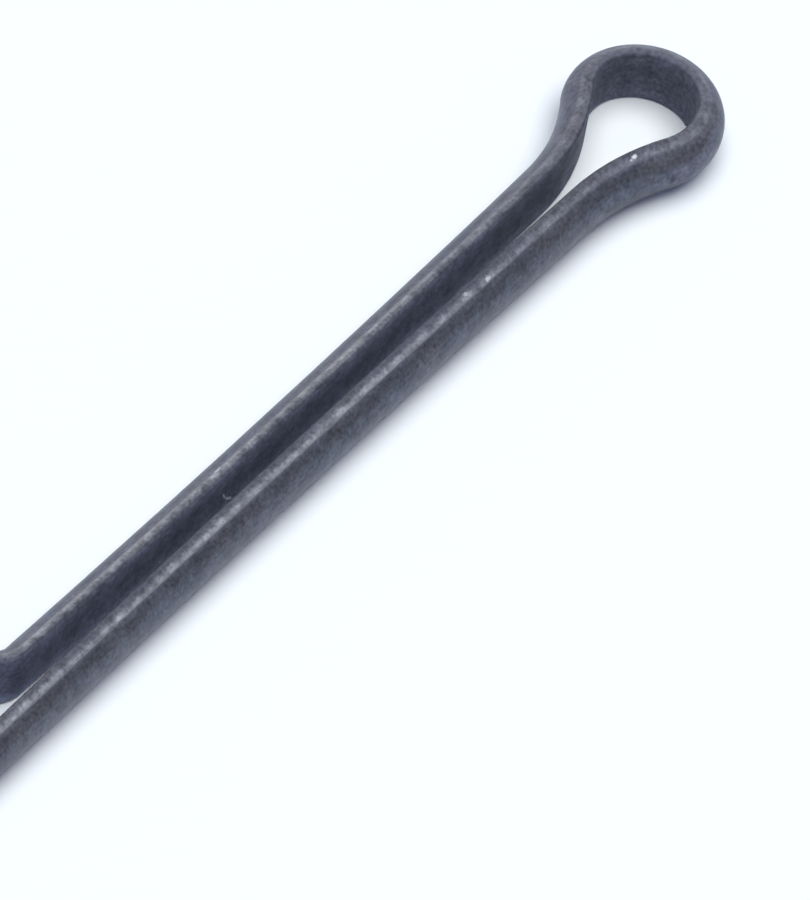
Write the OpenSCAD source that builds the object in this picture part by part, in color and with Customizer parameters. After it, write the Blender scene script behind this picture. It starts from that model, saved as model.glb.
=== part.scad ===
// A split cotter pin: one length of half-round wire, bent double with its flat side in.
// The bend is opened into an eye, the neck closes below it, and the two halves run on as legs.
// The pin lies on its side. The origin is the centre of the eye, halfway up the wire,
// +X points to the tips, and the long leg is on +Y.

/* [Wire] */
// Diameter of the wire's round back
wire_d = 3.0; // [2.4:0.05:4]
// Thickness of the wire, from its flat to its back
wire_t = 1.29; // [1.0:0.01:1.5]
// Radius on the two edges of the flat
edge_r = 0.21; // [0.1:0.01:0.35]

/* [Eye] */
// Inside radius of the eye's crown
eye_r = 2.29; // [1.8:0.01:3]
// Turn of the crown on each side, from the top of the eye to the shoulder
crown_turn = 59; // [45:1:75]
// Inside radius of the shoulder on the long leg's side
long_shoulder_r = 2.63; // [2:0.01:3.4]
// Inside radius of the shoulder on the short leg's side
short_shoulder_r = 2.06; // [1.6:0.01:3]
// Distance of the eye's centre from the shank's centre line, to the short leg's side
eye_shift = 0.27; // [0:0.01:0.5]

/* [Neck] */
// Slope at which the long leg's side of the eye runs down to the neck
long_slope = 26; // [20:1:40]
// Slope at which the short leg's side of the eye runs down to the neck
short_slope = 33; // [24:1:40]
// Gap between the two flats where the neck ends and the legs begin
leg_gap = 1.2; // [0.8:0.02:2]

/* [Legs] */
// Length of the long leg, from the neck to its tip
long_leg = 44; // [30:0.5:60]
// Length of the short leg, from the neck to the bend of its tip
short_leg = 36.5; // [24:0.5:50]
// Angle at which the long leg still closes in at the neck
long_close = 0.65; // [0:0.05:1.5]
// Angle at which the short leg still closes in at the neck
short_close = 0.95; // [0:0.05:1.5]
// Angle at which the long leg opens out at its tip
long_open = 0.75; // [0.1:0.05:3]
// Angle at which the short leg opens out at the bend of its tip
short_open = 1.0; // [0.1:0.05:3]

/* [Tips] */
// Angle that the short leg's tip is bent outwards by
flare_turn = 33; // [10:1:60]
// Inside radius of that bend
flare_r = 0.5; // [0.3:0.05:2]
// Length beyond that bend
flare_len = 3.5; // [1.5:0.1:8]
// Turn that the bent tip still has over that length
flare_curl = 2; // [0.5:0.5:10]
// Bevel round the back of each cut end
tip_bevel = 0.28; // [0.1:0.02:0.5]

/* [Hidden] */
$fn = 96;

// The wire's section has its flat on x = 0 and its back at x = wire_t.
// The back is one arc round back_x, and each edge is an arc tangent to the flat and the back.
back_r = wire_d / 2;
back_x = wire_t - back_r;
edge_y = sqrt(pow(back_r - edge_r, 2) - pow(edge_r - back_x, 2));
edge_angle = atan2(edge_y, edge_r - back_x);

// A bend is [radius of the flat, turn]. A negative turn closes round the flat, and a
// positive one turns towards the back. The path runs along the flat, with the back on
// its left, from the top of the eye to a leg's tip.

// A value to a number of decimal places, so that it has at most six digits
function rounded(value, places) = round(value * pow(10, places)) / pow(10, places);

// A bend that turns by an angle over a length
function bow(length, turn) = [rounded(length * 180 / (PI * turn), 1), turn];

// One side of the eye and its neck: crown, shoulder, and the reverse bend that brings
// the flat to flat_y
function eye_side(shoulder_r, slope, close, flat_y) =
    let (
        slope_y = (eye_r - shoulder_r) * sin(crown_turn) + shoulder_r * cos(slope),
        neck_r = (slope_y - flat_y) / (cos(close) - cos(slope))
    )
    [
        [eye_r, -crown_turn],
        [shoulder_r, crown_turn - 90 - slope],
        [rounded(neck_r, 3), slope - close]
    ];

long_bends = concat(
    eye_side(long_shoulder_r, long_slope, long_close, leg_gap / 2 + eye_shift),
    [bow(long_leg, long_close + long_open)]
);
short_bends = concat(
    eye_side(short_shoulder_r, short_slope, short_close, leg_gap / 2 - eye_shift),
    [
        bow(short_leg, short_close + short_open),
        [flare_r + wire_t, flare_turn],
        bow(flare_len, flare_curl)
    ]
);

// Both paths start at the top of the eye, heading along +Y
eye_top = [-eye_r, 0];
start_heading = 90;

function left_of(heading) = [-sin(heading), cos(heading)];
function bend_centre(bend, at, heading) = at + sign(bend[1]) * bend[0] * left_of(heading);
function bend_end(bend, at, heading) =
    bend_centre(bend, at, heading) - sign(bend[1]) * bend[0] * left_of(heading + bend[1]);
function end_heading(bends) = start_heading + [for (b = bends) 1] * [for (b = bends) b[1]];
function path_end(bends, at = eye_top, heading = start_heading, i = 0) =
    i == len(bends) ? at
    : path_end(bends, bend_end(bends[i], at, heading), heading + bends[i][1], i + 1);

// Moves in three steps, whole millimetres, thousandths and the rest, so that the faces of
// neighbouring bends still meet exactly where numbers are passed on with six digits
module place(at) {
    whole = [for (v = at) rounded(v, 0)];
    near = [for (v = at - whole) rounded(v, 3)];
    translate(whole) translate(near) translate(at - whole - near) children();
}

// Half-round section of the wire. The flat and the back give way to the edges' arcs a hair
// before the points where they touch, so that no sliver is left between them.
module wire_section() {
    hair = 0.00005;
    beyond = 2 * wire_d;
    flat_end = edge_y - hair;
    ray = edge_angle - hair * 180 / (PI * edge_r);
    ray_end = [edge_r + wire_d * cos(ray), edge_y + wire_d * sin(ray)];
    intersection() {
        translate([back_x, 0]) circle(r = back_r);
        polygon([
            [0, flat_end],
            [edge_r, edge_y],
            ray_end,
            [beyond, beyond],
            [beyond, -beyond],
            [ray_end[0], -ray_end[1]],
            [edge_r, -edge_y],
            [0, -flat_end]
        ]);
    }
    for (side = [-1, 1])
        place([edge_r, side * edge_y]) circle(r = edge_r);
}

// Wire along a list of bends, each starting where the last one ends
module wire(bends, at = eye_top, heading = start_heading, i = 0) {
    if (i < len(bends)) {
        r = bends[i][0];
        turn = bends[i][1];
        place(concat(bend_centre(bends[i], at, heading), 0)) {
            if (turn > 0)
                rotate_extrude(angle = turn, start = heading - 90)
                    translate([r, 0]) mirror([1, 0]) wire_section();
            else
                rotate_extrude(angle = -turn, start = heading + 90 + turn)
                    translate([r, 0]) wire_section();
        }
        wire(bends, bend_end(bends[i], at, heading), heading + turn, i + 1);
    }
}

// Cutter that bevels the back of a square cut end, placed on the end of a path. It is what
// a cone round the back leaves of a disc, and both run a little past the bevel at each end.
module tip_cutter(bends) {
    past = tip_bevel / 4;
    translate(concat(path_end(bends), 0))
        rotate([0, 0, end_heading(bends)])
            translate([0, back_x, 0])
                rotate([0, 90, 0])
                    difference() {
                        translate([0, 0, -tip_bevel - past])
                            cylinder(h = tip_bevel + 2 * past, r = wire_d);
                        translate([0, 0, -tip_bevel - 2 * past])
                            cylinder(h = tip_bevel + 4 * past, r1 = back_r + 2 * past,
                                r2 = back_r - tip_bevel - 2 * past);
                    }
}

// One half of the pin, from the top of the eye to its cut tip
module half(bends) {
    difference() {
        wire(bends);
        tip_cutter(bends);
    }
}

module cotter_pin() {
    color([0.24, 0.25, 0.29]) {
        half(long_bends);
        mirror([0, 1, 0]) half(short_bends);
    }
}

cotter_pin();
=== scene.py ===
# %% [markdown]
# # A cotter pin of blackened steel wire
#
# A cotter pin is one length of half-round wire, folded in half with its flat side in.
# The fold is opened into an eye, the two halves meet in a neck and run on as legs, and the
# shorter leg ends in a tip that is bent outwards. Nothing is joined to it, so the whole
# lesson is about one form and one finish: how a section is swept through a row of bends,
# and how a black oxide coat looks when its high places are rubbed.

# %% Load the frame
from math import atan2, cos, pi, radians, sin, sqrt

import bmesh
import bpy
from mathutils import Matrix, Quaternion, Vector, noise


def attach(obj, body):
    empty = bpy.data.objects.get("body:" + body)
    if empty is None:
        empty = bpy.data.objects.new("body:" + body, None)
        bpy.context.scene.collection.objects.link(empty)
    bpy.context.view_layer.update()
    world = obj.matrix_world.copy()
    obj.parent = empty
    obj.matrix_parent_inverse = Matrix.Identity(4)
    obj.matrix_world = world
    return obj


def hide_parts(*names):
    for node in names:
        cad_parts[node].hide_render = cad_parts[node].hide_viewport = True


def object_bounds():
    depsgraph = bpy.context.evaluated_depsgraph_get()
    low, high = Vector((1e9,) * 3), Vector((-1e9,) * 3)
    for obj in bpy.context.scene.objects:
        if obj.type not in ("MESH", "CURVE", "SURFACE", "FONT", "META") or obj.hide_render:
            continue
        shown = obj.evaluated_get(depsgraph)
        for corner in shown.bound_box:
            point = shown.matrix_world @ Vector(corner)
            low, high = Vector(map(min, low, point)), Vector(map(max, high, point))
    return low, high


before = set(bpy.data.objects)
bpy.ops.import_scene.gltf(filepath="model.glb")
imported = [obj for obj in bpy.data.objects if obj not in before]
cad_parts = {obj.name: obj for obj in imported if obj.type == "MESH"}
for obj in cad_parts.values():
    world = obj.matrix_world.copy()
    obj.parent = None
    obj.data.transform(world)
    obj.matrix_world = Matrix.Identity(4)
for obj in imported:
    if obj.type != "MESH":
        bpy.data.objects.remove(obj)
cad_low, cad_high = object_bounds()
print("CAD box in mm:", [round(1000 * size, 2) for size in cad_high - cad_low])

# %% [markdown]
# ## Units and two small helpers
#
# The sizes below are in millimetres, as on a drawing, and the finished mesh is scaled to
# metres once. Colours are picked as sRGB hex values, which is how a colour picker shows
# them. Blender's shaders work in linear light, so one function turns a hex value to linear.

# %% Units, colours and nodes
MM = 0.001


def linear(hex_colour):
    """The linear RGBA of an sRGB hex colour."""
    channels = [int(hex_colour[i : i + 2], 16) / 255 for i in (1, 3, 5)]
    curve = [c / 12.92 if c <= 0.04045 else ((c + 0.055) / 1.055) ** 2.4 for c in channels]
    return (*curve, 1.0)


def add(tree, kind, settings=None, inputs=None):
    """A new node. Each input is a value, or the output socket that feeds it."""
    node = tree.nodes.new(kind)
    for name, value in (settings or {}).items():
        setattr(node, name, value)
    for name, value in (inputs or {}).items():
        if isinstance(value, bpy.types.NodeSocket):
            tree.links.new(value, node.inputs[name])
        else:
            node.inputs[name].default_value = value
    return node


print("1 mm is", MM, "of Blender's units, which are metres")

# %% [markdown]
# ## The wire's section
#
# Half-round wire is rolled from round wire between a grooved roll and a plain one, which
# leaves a round back, a flat, and two rounded edges. One could draw the outline as a curve
# with a bevel object, but the row of bends is easier to follow in mesh code. Here a single
# vertex is spun about three centres, so the outline is what a drawing of the section
# gives: an arc for each edge, a larger arc for the back, and a straight flat.

# %% Sizes of the section
WIRE_D = 3.0
WIRE_T = 1.29
EDGE_R = 0.21
BACK_R = WIRE_D / 2
BACK_X = WIRE_T - BACK_R
EDGE_Y = sqrt((BACK_R - EDGE_R) ** 2 - (EDGE_R - BACK_X) ** 2)
EDGE_ANGLE = atan2(EDGE_Y, EDGE_R - BACK_X)
print("wire:", round(2 * (EDGE_Y + EDGE_R), 2), "mm wide,", WIRE_T, "mm thick")

# %% Draw the section
FLAT_STEPS, EDGE_STEPS, BACK_STEPS = 20, 6, 40
UP = (0, 0, 1)


def spun_arc(bm, vert, centre, turn, steps):
    """Spins a vertex about a centre in the section's plane. Returns the arc's last vertex."""
    made = bmesh.ops.spin(bm, geom=[vert], cent=centre, axis=UP, angle=turn, steps=steps)
    return next(part for part in made["geom_last"] if isinstance(part, bmesh.types.BMVert))


def draw_section(bm):
    """The closed outline of the wire, with its flat on x = 0 and its back at x = WIRE_T."""
    vert = first = bm.verts.new((0, -EDGE_Y, 0))
    vert = spun_arc(bm, vert, (EDGE_R, -EDGE_Y, 0), pi - EDGE_ANGLE, EDGE_STEPS)
    vert = spun_arc(bm, vert, (BACK_X, 0, 0), 2 * EDGE_ANGLE, BACK_STEPS)
    vert = spun_arc(bm, vert, (EDGE_R, EDGE_Y, 0), pi - EDGE_ANGLE, EDGE_STEPS)
    flat = bm.edges.new((vert, first))
    bmesh.ops.subdivide_edges(bm, edges=[flat], cuts=FLAT_STEPS - 1)


bm = bmesh.new()
draw_section(bm)
print("section:", len(bm.verts), "points")

# %% [markdown]
# ## The row of bends
#
# The pin lies on its side, so every bend turns about an upright axis. Each one is written
# as the radius of the flat and the angle it turns by: a negative turn closes round the
# flat, and a positive one turns towards the back. Like a pen that draws a line, the row is
# walked from the top of the eye to a leg's tip, and where a bend's radius is not given it
# follows from the bends beside it. A path curve would need its handles placed by hand.
# With arcs, the sizes stay those of a bending tool.

# %% Sizes of the bends, in mm and degrees
EYE_R, CROWN_TURN = 2.29, 59
LONG_SHOULDER_R, LONG_SLOPE = 2.63, 26
SHORT_SHOULDER_R, SHORT_SLOPE = 2.06, 33
LEG_GAP, EYE_SHIFT = 1.2, 0.27
LONG_LEG, LONG_CLOSE, LONG_OPEN = 44, 0.65, 0.75
SHORT_LEG, SHORT_CLOSE, SHORT_OPEN = 36.5, 0.95, 1.0
FLARE_R, FLARE_TURN, FLARE_LEN, FLARE_CURL = 0.5, 33, 3.5, 2


def bow(length, turn):
    """A leg or tip that is all but straight: it turns by a small angle over its length."""
    return (length / radians(turn), turn)


def eye_side(shoulder_r, slope, close, flat_y):
    """Crown, shoulder, and the reverse bend that brings the flat to flat_y."""
    slope_y = (EYE_R - shoulder_r) * sin(radians(CROWN_TURN)) + shoulder_r * cos(radians(slope))
    neck_r = (slope_y - flat_y) / (cos(radians(close)) - cos(radians(slope)))
    return [(EYE_R, -CROWN_TURN), (shoulder_r, CROWN_TURN - 90 - slope), (neck_r, slope - close)]


print("eye:", 2 * EYE_R, "mm inside, legs:", LONG_LEG, "and", SHORT_LEG, "mm from the neck")

# %% The two rows
long_bends = [
    *eye_side(LONG_SHOULDER_R, LONG_SLOPE, LONG_CLOSE, LEG_GAP / 2 + EYE_SHIFT),
    bow(LONG_LEG, LONG_CLOSE + LONG_OPEN),
]
short_bends = [
    *eye_side(SHORT_SHOULDER_R, SHORT_SLOPE, SHORT_CLOSE, LEG_GAP / 2 - EYE_SHIFT),
    bow(SHORT_LEG, SHORT_CLOSE + SHORT_OPEN),
    (FLARE_R + WIRE_T, FLARE_TURN),
    bow(FLARE_LEN, FLARE_CURL),
]
for name, bends in (("long", long_bends), ("short", short_bends)):
    print(name, "side:", [(round(r, 2), round(turn, 2)) for r, turn in bends])

# %% [markdown]
# ## Sweep the section
#
# The outline stands at the top of the eye, and `spin` carries it through one bend after
# another, a ring of points at a time. Both halves grow out of the same first ring, so there
# is no seam at the top of the eye.
#
# Every point also remembers where it was on the wire before the wire was bent, as the
# attribute `straight`: how far along, how far from the flat, and how high. The finish needs
# this, because the lines that a die draws into the wire run round the eye with it. A UV
# map could hold two of the three numbers, but it would need a seam.

# %% Walk the bends
RING_GAP, RING_TURN = 0.3, 3
START_HEADING = 90


def left_of(heading):
    """The direction to the left of a heading in degrees."""
    return Vector((-sin(radians(heading)), cos(radians(heading)), 0))


def sweep(bm, loop, bends, side, straight):
    """Carries the outline through the bends, mirrored for side -1, and says where it ends."""
    at, heading, travelled = Vector((-EYE_R, 0, 0)), START_HEADING, 0
    per_ring = sum(isinstance(part, bmesh.types.BMVert) for part in loop)
    for radius, turn in bends:
        to_centre = radius * (1 if turn > 0 else -1)
        centre = at + left_of(heading) * to_centre
        length = radius * radians(abs(turn))
        steps = max(round(length / RING_GAP), round(abs(turn) / RING_TURN))
        start = len(bm.verts)
        made = bmesh.ops.spin(
            bm, geom=loop, cent=(centre.x, side * centre.y, 0), axis=UP,
            angle=side * radians(turn), steps=steps,
        )
        loop = made["geom_last"]
        # The new points come ring by ring, and copied the attribute of the ring before them
        bm.verts.ensure_lookup_table()
        for index in range(start, len(bm.verts)):
            ring = (index - start) // per_ring + 1
            bm.verts[index][straight].x = side * (travelled + length * ring / steps)
        travelled += length
        heading += turn
        at = centre - left_of(heading) * to_centre
    return loop, Vector((at.x, side * at.y, 0)), side * heading, travelled


print("a ring at least every", RING_GAP, "mm or", RING_TURN, "degrees")

# %% Stand the outline at the top of the eye
straight = bm.verts.layers.float_vector.new("straight")
for vert in bm.verts:
    depth, height, _ = vert.co
    vert[straight] = (0, depth, height)
    vert.co = (-EYE_R - depth, 0, height)
first_ring = [*bm.verts, *bm.edges]
print("first ring:", len(bm.verts), "points, its flat at x =", -EYE_R, "mm")

# %% Sweep both halves, and leave the last of each leg to its tip
TIP_BEVEL = 0.28


def shorter(bends, by):
    """The same row with its last bend ended early."""
    radius, turn = bends[-1]
    return [*bends[:-1], (radius, turn * (1 - by / (radius * radians(turn))))]


ends = []
for bends, side in ((long_bends, 1), (short_bends, -1)):
    loop, at, heading, length = sweep(bm, first_ring, shorter(bends, TIP_BEVEL), side, straight)
    ends.append((loop, at, heading, side))
    print("half of", round(length, 2), "mm, to", [round(c, 2) for c in at], "heading", round(heading, 2))
print("swept:", len(bm.verts), "points,", len(bm.faces), "faces")

# %% [markdown]
# ## Cut tips
#
# The wire is sheared to length, and the machine breaks the sharp rim round the back, so
# that the pin finds its hole. The last ring is extruded in a few steps, each drawn in
# towards the middle of the back's arc, and then the opening is filled. A narrow bevel
# rounds the rim of the cut, since no sheared edge stays perfectly sharp in a bin of pins.

# %% Bevel and close the tips
TIP_STEPS = 4
RIM_ROUND, RIM_STEPS = 0.03, 2


def close_tip(bm, loop, at, heading, side, straight):
    """Extrudes the last ring into a bevelled end and closes it with a cut face."""
    forward = Vector((cos(radians(heading)), sin(radians(heading)), 0))
    middle = at + left_of(heading) * side * BACK_X
    edges = [part for part in loop if isinstance(part, bmesh.types.BMEdge)]
    last_size = 1.0
    for step in range(1, TIP_STEPS + 1):
        made = bmesh.ops.extrude_edge_only(bm, edges=edges)["geom"]
        edges = [part for part in made if isinstance(part, bmesh.types.BMEdge)]
        edges = [edge for edge in edges if len(edge.link_faces) == 1]
        verts = [part for part in made if isinstance(part, bmesh.types.BMVert)]
        bmesh.ops.translate(bm, verts=verts, vec=forward * TIP_BEVEL / TIP_STEPS)
        # At 45 degrees, the back's radius shrinks by as much as the tip grows
        size = 1 - TIP_BEVEL / BACK_R * step / TIP_STEPS
        about = Matrix.Translation(-middle - forward * TIP_BEVEL * step / TIP_STEPS)
        bmesh.ops.scale(bm, verts=verts, vec=(size / last_size,) * 3, space=about)
        last_size = size
        for vert in verts:
            vert[straight].x += side * TIP_BEVEL / TIP_STEPS
    cut = bmesh.ops.contextual_create(bm, geom=edges)["faces"][0]
    cut.normal_update()
    bmesh.ops.bevel(
        bm, geom=list(cut.edges), affect="EDGES", offset=RIM_ROUND, segments=RIM_STEPS,
        profile=0.5, material=-1,
    )


for loop, at, heading, side in ends:
    close_tip(bm, loop, at, heading, side, straight)
bmesh.ops.recalc_face_normals(bm, faces=bm.faces)
print("open edges:", sum(len(edge.link_faces) != 2 for edge in bm.edges))
print("volume:", round(bm.calc_volume(), 2), "mm3")

# %% [markdown]
# ## A surface that has been rolled and bent
#
# Wire is never as true as its drawing. Rolling leaves it a few hundredths of a millimetre
# thicker here and thinner there, and the bending tool presses it slightly. One can't see
# that in the outline, but a highlight that runs along a leg wavers with it. A displacement
# modifier could do this, but it moves points both ways. Here each point moves inwards
# along its normal by a smooth noise, so the pin never grows past its size.

# %% Waver of the surface
WAVER_DEPTH = 0.012
BROAD_SIZE, BROAD_SHARE = 3.2, 0.38
CLOSE_SIZE, CLOSE_SHARE = 1.1, 0.12
ELSEWHERE = Vector((31, 17, 5))


def waver(place):
    """Depth in mm of the unevenness at a place, from two sizes of soft noise."""
    broad = noise.noise(place / BROAD_SIZE)
    close = noise.noise(place / CLOSE_SIZE + ELSEWHERE)
    return WAVER_DEPTH * (0.5 + BROAD_SHARE * broad + CLOSE_SHARE * close)


bm.normal_update()
moves = [(vert, -vert.normal * waver(vert.co)) for vert in bm.verts]
for vert, move in moves:
    vert.co += move
depths = [move.length for _, move in moves]
print("surface lies", round(min(depths), 4), "to", round(max(depths), 4), "mm inside its true form")

# %% Smooth the faces, scale to metres and make the object
# Only the two cut faces have more than four sides, and they stay flat
for face in bm.faces:
    face.smooth = len(face.verts) == 4
# Spin makes the faces of a ring in no fixed order, and sorting them makes every run the same
bm.verts.index_update()
by_points = sorted(bm.faces, key=lambda face: [vert.index for vert in face.verts])
ranks = {face: rank for rank, face in enumerate(by_points)}
bm.faces.sort(key=ranks.get)
bmesh.ops.scale(bm, verts=bm.verts, vec=(MM, MM, MM))
mesh = bpy.data.meshes.new("pin_wire")
bm.to_mesh(mesh)
bm.free()
pin_wire = bpy.data.objects.new("pin_wire", mesh)
bpy.context.scene.collection.objects.link(pin_wire)
print("pin_wire:", [round(size / MM, 2) for size in pin_wire.dimensions], "mm")

# %% [markdown]
# ## The finish: black oxide on drawn steel
#
# Blackening grows a thin layer of magnetite on the steel in a hot bath. It is a film, so
# the metal still mirrors its surroundings, only much darker, and that is why the material
# is fully metallic with a dark, slightly blue base colour. An opaque black paint would be
# a dielectric with a white gloss on it, which looks like plastic.
#
# Patterns that belong to the bath, such as its cloudy patches, are read at the point's
# place in space. Patterns that belong to the wire, such as die lines and rubbed ridges,
# are read from `straight`, where the wire is still a plain bar.
#
# The material takes many nodes but few kinds of them. Each kind that comes back gets a
# short function where it is first needed, so the steps below read like a recipe.

# %% Start the material
# Black oxide on drawn steel: the thin dark film gives the eye a satin metal with soft, dim
# reflections and no white gloss
black_oxide = bpy.data.materials.new("black_oxide_rubbed_bright")
black_oxide.use_nodes = True
tree = black_oxide.node_tree
shader = tree.nodes["Principled BSDF"]
shader.inputs["Metallic"].default_value = 1
mesh.materials.append(black_oxide)
print("material:", black_oxide.name)

# %% Places in mm, in the bath and on the wire
def calc(operation, *values):
    """The result of one step of arithmetic on one, two or three values."""
    return add(tree, "ShaderNodeMath", {"operation": operation}, dict(enumerate(values))).outputs[0]


def scaled(vector, factor):
    """A vector or a colour, multiplied by a number."""
    inputs = {"Vector": vector, "Scale": factor}
    return add(tree, "ShaderNodeVectorMath", {"operation": "SCALE"}, inputs).outputs["Vector"]


bath_place = scaled(add(tree, "ShaderNodeTexCoord").outputs["Object"], 1 / MM)
wire_place = add(tree, "ShaderNodeAttribute", {"attribute_name": "straight"}).outputs["Vector"]
wire_parts = add(tree, "ShaderNodeSeparateXYZ", inputs={"Vector": wire_place}).outputs
along, from_flat = wire_parts["X"], wire_parts["Y"]
from_eye = calc("ABSOLUTE", along)
from_middle = calc("ABSOLUTE", wire_parts["Z"])
print("straight runs along X, from the flat along Y and up along Z")

# %% [markdown]
# ### Patches, grain and die lines
#
# The oxide is not one colour. Where the bath was hotter or the steel was cleaner it turns
# bluish, and elsewhere a little brown. Each cluster of crystals reflects on its own, which
# gives the grain. Real grain is a few hundredths of a millimetre wide, and it is drawn
# coarser here so that it shows. The die leaves faint lines along the wire, so their noise
# is squeezed across the wire and stretched along it.

# %% Noises, with their sizes in mm
PATCH_SIZE, CLOUD_SIZE, GRAIN_SIZE = 2.6, 0.7, 0.18
LINE_WIDTH, LINE_LENGTH = 0.1, 3.0
SOFT_DETAIL, CLOUD_DETAIL = 2.0, 3.0


def noise_at(place, size, detail=SOFT_DETAIL):
    """Noise from 0 to 1 in patches of about this size in mm."""
    inputs = {"Vector": place, "Scale": 1 / size, "Detail": detail}
    return add(tree, "ShaderNodeTexNoise", inputs=inputs).outputs["Fac"]


patches = noise_at(bath_place, PATCH_SIZE)
clouds = noise_at(bath_place, CLOUD_SIZE, CLOUD_DETAIL)
grain = noise_at(bath_place, GRAIN_SIZE)
lengthwise = add(
    tree, "ShaderNodeMapping", inputs={"Vector": wire_place, "Scale": (LINE_WIDTH / LINE_LENGTH, 1, 1)}
).outputs["Vector"]
die_lines = noise_at(lengthwise, LINE_WIDTH)
print("patches", PATCH_SIZE, "mm, clouds", CLOUD_SIZE, "mm, grain", GRAIN_SIZE, "mm")

# %% Colour of the oxide
OXIDE_BLUE, OXIDE_BROWN = "#5F6373", "#636573"
BLUE_UNTIL, BROWN_FROM = 0.38, 0.62


def fade(value, start, end, low=0.0, high=1.0, shape="SMOOTHSTEP"):
    """A number that goes from low to high while the value goes from start to end."""
    inputs = {"Value": value, "From Min": start, "From Max": end, "To Min": low, "To Max": high}
    return add(tree, "ShaderNodeMapRange", {"interpolation_type": shape}, inputs).outputs["Result"]


def blend(factor, first, second, how="MIX"):
    """The first colour blended with the second. A Mix node's colours are sockets 6, 7 and 2."""
    settings = {"data_type": "RGBA", "blend_type": how}
    return add(tree, "ShaderNodeMix", settings, {"Factor": factor, 6: first, 7: second}).outputs[2]


oxide = blend(fade(patches, BLUE_UNTIL, BROWN_FROM), linear(OXIDE_BLUE), linear(OXIDE_BROWN))
print("oxide from", OXIDE_BLUE, "to", OXIDE_BROWN)

# %% [markdown]
# ### Painted shade along the legs
#
# Along the legs the colour is painted darker in two stripes: along the edge of the flat,
# where the slot between the legs shades the wire, and just below the ridge of the back, where
# the back mirrors the dim side of the room. At the ridge itself it is painted a touch
# lighter, and the rest of the back a little darker, with some of its blue taken out. A
# colour ramp on the distance from the flat is the plainest way to draw such stripes, and
# each of its stops is a distance in millimetres.

# %% How much light the painted shade leaves, by distance from the flat
PAINTED_SHADE_STOPS = {
    # mm from the flat: (light left, share of the blue in it)
    0.0: (0.8, 1), 0.15: (0.78, 1), 0.35: (0.8, 1), 0.5: (1.04, 1),
    0.6: (1.0, 1), 0.7: (0.85, 1.01), 0.85: (0.84, 0.99), 1.0: (0.92, 0.95),
}
EYE_ENDS, LEGS_BEGIN = 8.0, 18.0
SHOULDER_BEGINS, SHOULDER_ENDS = 3.5, 6.5

down_legs = fade(from_eye, EYE_ENDS, LEGS_BEGIN)
# On the long leg's side the painted shade already starts at the eye's shoulder
painted_shade_amount = calc("MAXIMUM", down_legs, fade(along, SHOULDER_BEGINS, SHOULDER_ENDS))
# The ramp paints shade into the colour, in stripes across the legs
painted_shade_ramp = add(tree, "ShaderNodeValToRGB", inputs={"Fac": from_flat})
stops = painted_shade_ramp.color_ramp.elements
# A new ramp has a stop at 0 and one at 1, and the list of stops starts and ends there too
for position, (light, blue) in PAINTED_SHADE_STOPS.items():
    stop = {0.0: stops[0], 1.0: stops[-1]}.get(position) or stops.new(position)
    stop.color = (light, light, light * blue, 1)
back_colour = blend(painted_shade_amount, oxide, painted_shade_ramp.outputs["Color"], "MULTIPLY")
print("smut:", [(round(stop.position, 2), round(stop.color[0], 2)) for stop in stops])

# %% [markdown]
# ### The flat
#
# The rolled flat lies hidden between the legs. Nothing has rubbed it since the bath, so it
# is as matt as the bath left it. Its colour holds painted light and shade: it is painted
# lighter on the legs, against the shade of the narrow slot between them, darker in the eye,
# where it mirrors the bright paper, and lighter towards both edges of the flat, which see
# more of the room.

# %% Matt oxide on the flat, with painted light and shade
EYE_FLAT_OXIDE_SHADED, LEG_FLAT_OXIDE_LIT = "#656979", "#787D92"
BORDER_FROM, BORDER_FULL, BORDER_PAINTED_LIGHT = 0.4, 1.3, 1.28
FLAT_ENDS, BACK_BEGINS = -0.02, 0.1

# Painted light and shade: the flat is lighter on the legs than in the eye, and lighter towards its edges
flat_colour = blend(down_legs, linear(EYE_FLAT_OXIDE_SHADED), linear(LEG_FLAT_OXIDE_LIT))
flat_colour = scaled(flat_colour, fade(from_middle, BORDER_FROM, BORDER_FULL, 1.0, BORDER_PAINTED_LIGHT))
on_back = fade(from_flat, FLAT_ENDS, BACK_BEGINS)
colour = blend(on_back, flat_colour, back_colour)
print("flat from", EYE_FLAT_OXIDE_SHADED, "in the eye to", LEG_FLAT_OXIDE_LIT, "on the legs")

# %% [markdown]
# ### Rubbed ridges
#
# The section stands out most where the edge's small arc meets the back's large one. Pins
# lie on that ridge and rub against each other on it, so the oxide wears thin there and the
# steel shows through. The band is worked out from the section: it fades in from the flat
# and ends sharply on the back, with its border frayed by noise. Painting it by hand would
# need a texture, and Pointiness in the Geometry node finds edges only where the mesh is
# fine enough.

# %% Distance across the back, as the rubbing sees it
# The short leg's flat is tipped up a little, so its band lies nearer the flat and is wider.
SHORT_LEG_SHIFT, SHORT_LEG_SPREAD = 0.24, 0.8
SHORT_NECK_BEGINS, SHORT_NECK_ENDS = -7.0, -14.0
WANDER, FRAY = 0.18, 0.08
NOISE_MIDDLE = (WANDER + FRAY) / 2

on_short_leg = fade(along, SHORT_NECK_BEGINS, SHORT_NECK_ENDS)
shifted = calc("MULTIPLY_ADD", from_flat, SHORT_LEG_SPREAD, SHORT_LEG_SHIFT)
across = add(
    tree, "ShaderNodeMix", {"data_type": "FLOAT"}, {"Factor": on_short_leg, 2: from_flat, 3: shifted}
).outputs[0]
across = calc("MULTIPLY_ADD", clouds, WANDER, across)
across = calc("MULTIPLY_ADD", grain, FRAY, across)
print("the band's border wanders by about", NOISE_MIDDLE / 2, "mm")

# %% The band
RUB_FROM, RUB_FULL, RUB_END, RUB_SHARP = 0.27, 0.53, 0.62, 0.03
RIDGE_BEGINS, RIDGE_FULL = 1.0, 1.15

rise = fade(across, RUB_FROM + NOISE_MIDDLE, RUB_FULL + NOISE_MIDDLE)
fall = fade(across, RUB_END + RUB_SHARP + NOISE_MIDDLE, RUB_END - RUB_SHARP + NOISE_MIDDLE)
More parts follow.
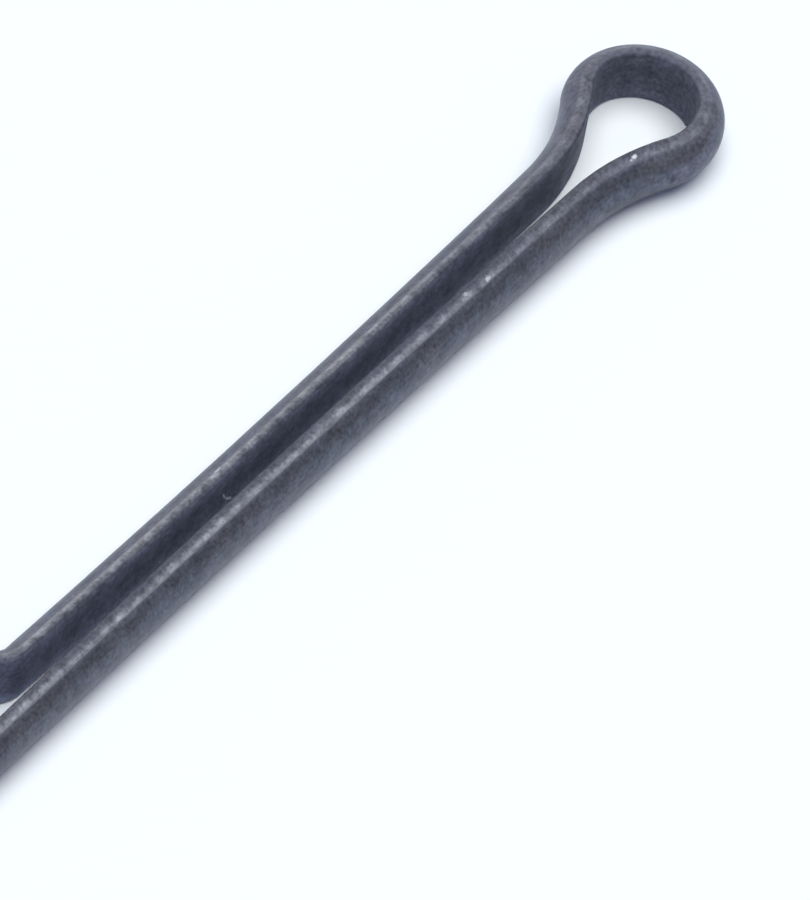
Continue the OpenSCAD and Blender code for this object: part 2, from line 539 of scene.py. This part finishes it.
# The cut faces of the tips are not part of the ridge
on_ridge = fade(from_middle, RIDGE_BEGINS, RIDGE_FULL, shape="LINEAR")
band = calc("MULTIPLY", calc("MULTIPLY", rise, fall), on_ridge)
print("the band runs from", RUB_FROM, "to", RUB_END, "mm off the flat")

# %% How much of the band is rubbed through
# The eye is rubbed less than the legs, the short leg less than the long one, and all unevenly
EYE_SHARE, SHORT_LEG_SHARE, LEAST_SHARE = 0.3, 0.85, 0.45
RUB_GROWS_FROM, RUB_GROWS_TO = 8.0, 24.0
CLOUDS_LOW, CLOUDS_HIGH = 0.3, 0.7

legs_rub = fade(from_eye, RUB_GROWS_FROM, RUB_GROWS_TO, EYE_SHARE, 1.0)
short_leg_rub = fade(on_short_leg, 0.0, 1.0, 1.0, SHORT_LEG_SHARE, shape="LINEAR")
uneven_rub = fade(clouds, CLOUDS_LOW, CLOUDS_HIGH, LEAST_SHARE, 1.0, shape="LINEAR")
rubbed = band
for share in (legs_rub, short_leg_rub, uneven_rub):
    rubbed = calc("MULTIPLY", rubbed, share)
print("rubbed through:", EYE_SHARE, "at the eye, 1 on the long leg,", SHORT_LEG_SHARE, "on the short leg")

# %% Steel shows through
RUBBED_STEEL = "#8B8F99"

colour = blend(rubbed, colour, linear(RUBBED_STEEL))
print("steel shows as", RUBBED_STEEL)

# %% [markdown]
# ### Grain in the colour
#
# Grain, die lines and clouds each make the colour a little darker or lighter. They are
# multiplied together, because a dark crystal on a dark cloud is darker than either.

# %% Darker and lighter
GRAIN_TONE, LINE_TONE, CLOUD_TONE = 0.32, 0.1, 0.2
# How far each noise goes from its middle, 0.5
GRAIN_SPREAD, LINE_SPREAD, CLOUD_SPREAD = 0.25, 0.25, 0.2

for cause, spread, tone in (
    (grain, GRAIN_SPREAD, GRAIN_TONE),
    (die_lines, LINE_SPREAD, LINE_TONE),
    (clouds, CLOUD_SPREAD, CLOUD_TONE),
):
    shade = fade(cause, 0.5 - spread, 0.5 + spread, 1 - tone, 1 + tone, shape="LINEAR")
    colour = scaled(colour, shade)
print("tones: grain", GRAIN_TONE, "lines", LINE_TONE, "clouds", CLOUD_TONE)

# %% [markdown]
# ### Nicks
#
# A few knocks have gone through the oxide to bright steel, and one left a pit, whose shade
# is painted dark. Each is a soft ellipsoid on the unbent wire, so its place is simply how far
# along the wire it is, how far from the flat, and how high. A Mapping node of type Texture
# turns that place into the ellipsoid's own space, where it has a radius of 1, and noise eats
# into it.

# %% Knocks in the oxide
BRIGHT_STEEL, DULL_STEEL, DIM_STEEL = "#C6C9D4", "#B4B8C4", "#A3A6B2"
# The pit's dark colour is painted shade
PIT_PAINTED_SHADE = "#44464F"
NICKS = [
    # place on the unbent wire, turn about the wire's thickness, half sizes, colour
    ((6.82, 0.39, 1.38), 30, (0.25, 0.13, 0.14), BRIGHT_STEEL),
    ((7.03, 0.47, 1.34), 0, (0.17, 0.09, 0.1), DIM_STEEL),
    ((16.75, 0.48, 1.33), 25, (0.26, 0.15, 0.14), DULL_STEEL),
    ((18.16, 0.37, 1.38), -15, (0.22, 0.13, 0.14), DIM_STEEL),
    ((-33.3, 0.4, 1.36), 20, (0.6, 0.12, 0.12), DIM_STEEL),
    ((-33.07, 0.0, -0.16), 62, (0.36, 0.2, 0.09), BRIGHT_STEEL),
    ((-32.69, 0.0, -0.61), 41, (0.5, 0.2, 0.1), BRIGHT_STEEL),
    ((5.13, 1.29, 0.06), 0, (0.18, 0.4, 0.34), PIT_PAINTED_SHADE),
]
RAGGED, RAGGED_SIZE = 1.1, 0.13

ragged = calc("MULTIPLY_ADD", noise_at(bath_place, RAGGED_SIZE), RAGGED, -RAGGED / 2)
print("half sizes from", min(min(row[2]) for row in NICKS), "to", max(max(row[2]) for row in NICKS), "mm")

# %% Put the knocks on the wire
# Distances from a knock's middle, where 1 is its rim
KNOCK_RIM, KNOCK_HEART = 1.05, 0.35

knocks = []
for place, turn, half, knock_colour in NICKS:
    local = add(
        tree, "ShaderNodeMapping", {"vector_type": "TEXTURE"},
        {"Vector": wire_place, "Location": place, "Rotation": (0, radians(turn), 0), "Scale": half},
    ).outputs["Vector"]
    away = add(tree, "ShaderNodeVectorMath", {"operation": "LENGTH"}, {"Vector": local}).outputs["Value"]
    knock = fade(calc("ADD", away, ragged), KNOCK_RIM, KNOCK_HEART)
    colour = blend(knock, colour, linear(knock_colour))
    knocks.append(knock)
tree.links.new(colour, shader.inputs["Base Color"])

dents = knocks[0]
for knock in knocks[1:]:
    dents = calc("MAXIMUM", dents, knock)
print("knocks:", len(knocks))

# %% [markdown]
# ### Gloss and relief
#
# The bath's crystals scatter light, so the flat is rough. The back has been handled and is
# smoother, and steel that was rubbed or knocked bare is smoother still. The grain lies a
# few thousandths of a millimetre deep. At that depth a bump is enough, and only the knocks
# are deep enough to catch the light on one side.

# %% Roughness
FLAT_ROUGH, BACK_ROUGH = 0.8, 0.44
BARE_SMOOTHER, GRAIN_ROUGH = 0.12, 0.16

rough = fade(on_back, 0.0, 1.0, FLAT_ROUGH, BACK_ROUGH, shape="LINEAR")
rough = calc("MULTIPLY_ADD", calc("MAXIMUM", rubbed, dents), -BARE_SMOOTHER, rough)
grain_rough = fade(grain, 0.0, 1.0, -GRAIN_ROUGH / 2, GRAIN_ROUGH / 2, shape="LINEAR")
rough = calc("ADD", rough, grain_rough)
tree.links.new(rough, shader.inputs["Roughness"])
print("roughness", FLAT_ROUGH, "on the flat,", BACK_ROUGH, "on the back")

# %% Relief, with its depths in mm
GRAIN_DEPTH, LINE_DEPTH, DENT_DEPTH = 0.004, 0.002, 0.05

relief = add(
    tree, "ShaderNodeBump", inputs={"Height": grain, "Distance": GRAIN_DEPTH * MM, "Strength": 1.0}
).outputs["Normal"]
relief = add(
    tree, "ShaderNodeBump",
    inputs={"Height": die_lines, "Distance": LINE_DEPTH * MM, "Strength": 1.0, "Normal": relief},
).outputs["Normal"]
relief = add(
    tree, "ShaderNodeBump", {"invert": True},
    {"Height": dents, "Distance": DENT_DEPTH * MM, "Strength": 1.0, "Normal": relief},
).outputs["Normal"]
tree.links.new(relief, shader.inputs["Normal"])
print("material:", len(tree.nodes), "nodes")

# %% [markdown]
# ## Camera
#
# The pin is small and the view is a close one, but a long lens far away keeps the two legs
# all but parallel, as a macro lens does. The camera is placed by the point it aims at on
# the pin's own level, two angles and a slight roll, so each of them can be changed alone.

# %% Camera
AIM = Vector((21.964, 3.894, 0)) * MM
AIM_DISTANCE = 1234.46 * MM
AZIMUTH, ELEVATION, ROLL = 28.642, 47.835, 10.815
LENS, SENSOR = 1185.4, 36
FAR_CLIP = 10


def direction(azimuth, elevation):
    """A unit vector. The azimuth is measured from +X towards +Y."""
    level = cos(radians(elevation))
    around = radians(azimuth)
    return Vector((level * cos(around), level * sin(around), sin(radians(elevation))))


towards_camera = direction(AZIMUTH, ELEVATION)
camera_data = bpy.data.cameras.new("camera")
camera_data.lens = LENS
camera_data.sensor_width = SENSOR
camera_data.clip_end = FAR_CLIP
camera = bpy.data.objects.new("camera", camera_data)
camera.location = AIM + towards_camera * AIM_DISTANCE
camera.rotation_mode = "QUATERNION"
level_turn = towards_camera.to_track_quat("Z", "Y")
camera.rotation_quaternion = level_turn @ Quaternion((0, 0, 1), radians(ROLL))
bpy.context.scene.collection.objects.link(camera)
bpy.context.scene.camera = camera
print("camera at", [round(c, 3) for c in camera.location], "m")

# %% [markdown]
# ## Table
#
# The pin lies on a sheet of matt, near-white paper, which catches its shadow. A purely
# diffuse shader is the plainest way to make paper: it has no sheen, and it gives back all
# of the light that its colour says.

# %% Sheet of paper
PAPER = "#F9FBFE"
TABLE_SIZE = (6, 6)


def flat_sheet(name, size, shader_kind, shader_inputs):
    """A rectangle in its own XY plane, with a material of one shader."""
    bm = bmesh.new()
    # A grid's size is counted from its middle, so this one is 1 m wide
    bmesh.ops.create_grid(bm, x_segments=1, y_segments=1, size=0.5)
    bmesh.ops.scale(bm, verts=bm.verts, vec=(*size, 1))
    mesh = bpy.data.meshes.new(name)
    bm.to_mesh(mesh)
    bm.free()
    material = bpy.data.materials.new(name)
    material.use_nodes = True
    tree = material.node_tree
    tree.nodes.remove(tree.nodes["Principled BSDF"])
    paint = add(tree, shader_kind, inputs=shader_inputs)
    tree.links.new(paint.outputs[0], tree.nodes["Material Output"].inputs["Surface"])
    mesh.materials.append(material)
    return bpy.data.objects.new(name, mesh)


table = flat_sheet("matt_paper", TABLE_SIZE, "ShaderNodeBsdfDiffuse", {"Color": linear(PAPER)})
table.location.z = cad_low.z
bpy.context.scene.collection.objects.link(table)
print("table at", round(table.location.z / MM, 3), "mm")

# %% [markdown]
# ## Lamp
#
# One large round lamp hangs over the table, a little to the eye's side, so the shadows are
# short and soft, and the pin is seen to touch the paper. A smaller lamp would draw hard
# shadows, and the sky alone would draw almost none. Its energy follows from how bright its
# face is: for a flat lamp that is the radiance times pi times the area.

# %% The lamp over the table
LAMP_SIZE, LAMP_RADIANCE = 1.6, 4.0
LAMP_AZIMUTH, LAMP_ELEVATION, LAMP_DISTANCE = 130, 84.5, 1.5
LAMP_COLOUR = (0.97, 1.0, 0.94)


def put(ob, azimuth, elevation, distance):
    """Sets an object at a distance from the pin's eye, with its +Z side turned away from it."""
    way = direction(azimuth, elevation)
    ob.location = way * distance
    ob.rotation_mode = "QUATERNION"
    ob.rotation_quaternion = way.to_track_quat("Z", "Y")
    bpy.context.scene.collection.objects.link(ob)


overhead = bpy.data.lights.new("overhead_lamp", "AREA")
overhead.shape = "DISK"
overhead.size = LAMP_SIZE
overhead.energy = LAMP_RADIANCE * pi * (pi * LAMP_SIZE**2 / 4)
overhead.color = LAMP_COLOUR
lamp = bpy.data.objects.new("overhead_lamp", overhead)
put(lamp, LAMP_AZIMUTH, LAMP_ELEVATION, LAMP_DISTANCE)
lamp.visible_camera = False
lamp.visible_glossy = False
print("lamp:", round(overhead.energy, 1), "W")

# %% [markdown]
# ## What the metal mirrors
#
# Dark metal shows little of its own: what one sees on it is the room. So the room is also
# built for its reflections, as it is in a studio, from softboxes and cards.
# A softbox overhead lights the tops of the legs, a window low behind the pin lights their
# far sides, and a grey card in front gives the near sides their shade. They are seen only
# by the metal, so each can be moved without changing the shadows.

# %% Softbox, window and card
PANELS = [
    # name, size in m, azimuth and elevation in degrees, distance in m, brightness and colour
    ("overhead_softbox", (2.7, 2.7), (130, 78), 1.6, 1.3, "#FFFFFF"),
    ("low_window", (2.4, 1.0), (-145, 17), 2.0, 1.42, "#FFFDF5"),
    ("grey_card", (2.4, 1.5), (108, 20), 2.0, 0.42, "#FFFDF7"),
]
for name, size, angles, distance, brightness, tint in PANELS:
    shine = {"Strength": brightness, "Color": linear(tint)}
    panel = flat_sheet(name, size, "ShaderNodeEmission", shine)
    put(panel, *angles, distance)
    panel.visible_camera = False
    panel.visible_diffuse = False
    panel.visible_shadow = False
print("panels:", ", ".join(row[0] for row in PANELS))

# %% [markdown]
# ## Room light
#
# The rest of the room is white where the camera or the metal sees it. As a light it is
# dimmer and blue, as the light of the sky is, and so the shadows are bluish and not grey.
# Light Path tells the two apart, so the background is white without lighting the pin more.

# %% World
FILL = (0.17, 0.2, 0.325, 1)
WHITE = (1, 1, 1, 1)

world = bpy.data.worlds.new("room")
bpy.context.scene.world = world
world.use_nodes = True
room = world.node_tree
path = add(room, "ShaderNodeLightPath").outputs
seen = path["Is Camera Ray"]
for ray in ("Is Glossy Ray", "Is Transmission Ray"):
    seen = add(room, "ShaderNodeMath", {"operation": "MAXIMUM"}, {0: seen, 1: path[ray]}).outputs[0]
glow = add(room, "ShaderNodeMix", {"data_type": "RGBA"}, {"Factor": seen, 6: FILL, 7: WHITE}).outputs[2]
room.links.new(glow, room.nodes["Background"].inputs["Color"])
bpy.context.scene.view_settings.view_transform = "Standard"
print("fill light:", FILL[:3])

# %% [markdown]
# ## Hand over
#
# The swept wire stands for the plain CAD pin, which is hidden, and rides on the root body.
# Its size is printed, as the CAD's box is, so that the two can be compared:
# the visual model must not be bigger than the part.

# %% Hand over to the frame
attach(pin_wire, "root")
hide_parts("cotter_pin")
